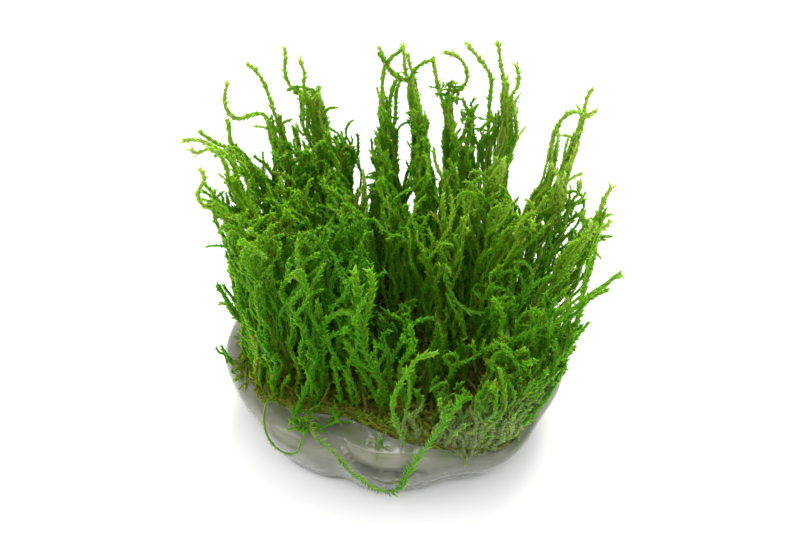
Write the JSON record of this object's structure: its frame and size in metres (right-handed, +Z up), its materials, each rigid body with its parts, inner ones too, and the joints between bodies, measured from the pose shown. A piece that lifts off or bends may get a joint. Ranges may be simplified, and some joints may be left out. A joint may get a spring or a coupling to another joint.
{
  "type": "moss clump",
  "caption": "Clump of tall green aquarium moss, leafy shoots in tufts on a felt of old stems, standing in the disc of cloudy nutrient gel it grew in.",
  "frame": {"origin": "centre of the gel disc's flat foot, on the surface that the clump stands on", "axes": "+Z up, -Y towards the side with the open hollow and the trailing shoots, which the picture shows as the front, +X to the right seen from that side"},
  "size_m": [0.0886, 0.0812, 0.0715],
  "materials": {
    "gel": "cloudy translucent nutrient gel, wet and glossy",
    "old_stems": "matt felt of old brown stems and rhizoids",
    "moss_green": "wet leafy moss, deep green with yellow-green tips"
  },
  "bodies": {
    "root": {"front_shoot": "moss_green", "gel_disc": "gel", "looped_shoot": "moss_green", "sprig_hollow_1": "moss_green", "sprig_hollow_2": "moss_green", "sprig_hollow_3": "moss_green", "stem_felt": "old_stems", "trailing_shoot": "moss_green", "tuft_back": "moss_green", "tuft_back_column": "moss_green", "tuft_back_left": "moss_green", "tuft_back_right": "moss_green", "tuft_front": "moss_green", "tuft_front_left_1": "moss_green", "tuft_front_left_2": "moss_green", "tuft_front_right_1": "moss_green", "tuft_front_right_2": "moss_green", "tuft_front_right_3": "moss_green", "tuft_front_right_4": "moss_green", "tuft_inner_1": "moss_green", "tuft_inner_2": "moss_green", "tuft_inner_3": "moss_green", "tuft_inner_4": "moss_green", "tuft_left": "moss_green", "tuft_left_back": "moss_green", "tuft_left_front": "moss_green", "tuft_left_loops": "moss_green", "tuft_left_rings": "moss_green", "tuft_middle_1": "moss_green", "tuft_middle_2": "moss_green", "tuft_middle_3": "moss_green", "tuft_middle_4": "moss_green", "tuft_middle_5": "moss_green", "tuft_middle_6": "moss_green", "tuft_middle_7": "moss_green", "tuft_middle_8": "moss_green", "tuft_middle_9": "moss_green", "tuft_right": "moss_green", "tuft_right_notch": "moss_green", "tuft_right_tall": "moss_green"}
  },
  "joints": []
}
